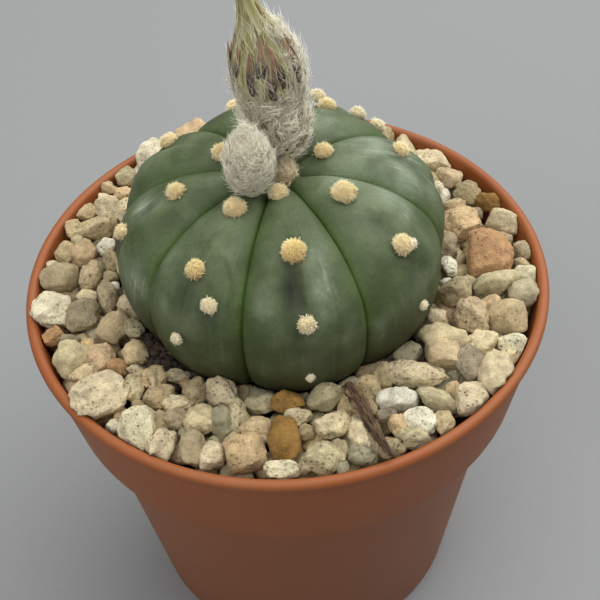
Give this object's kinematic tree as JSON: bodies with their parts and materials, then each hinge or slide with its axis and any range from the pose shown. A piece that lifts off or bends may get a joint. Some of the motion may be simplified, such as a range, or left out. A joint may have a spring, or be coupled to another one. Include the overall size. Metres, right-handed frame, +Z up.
{
  "type": "potted cactus",
  "caption": "Low flattened ribbed cactus with woolly areoles and a tall woolly flower bud, in a tapered round pot topped with pumice gravel.",
  "frame": {"origin": "centre of the pot's foot, on the surface that the pot stands on", "axes": "+Z up along the pot's axis, -Y towards the front of the plant, +X to the right"},
  "size_m": [0.09, 0.09, 0.1321],
  "materials": {
    "pot_plastic": "moulded terracotta-coloured plastic, satin",
    "soil": "dark crumbly potting soil",
    "gravel": "dry porous pumice stones, beige to grey, dull",
    "bark": "dark fibrous bark, dull",
    "cactus_skin": "dark green waxy plant skin, satin",
    "bud_wool": "grey-white plant wool",
    "bud_petal": "yellow-green petals with brown midribs, dull",
    "young_wool": "brown-pink bud skin under cream wool"
  },
  "bodies": {
    "root": {"pot": "pot_plastic", "soil": "soil", "gravel": "gravel", "bark_twig": "bark", "cactus_body": "cactus_skin", "flower_bud_tube": "bud_wool", "flower_bud_petals": "bud_petal", "side_bud": "bud_wool", "young_bud": "young_wool"}
  },
  "joints": []
}
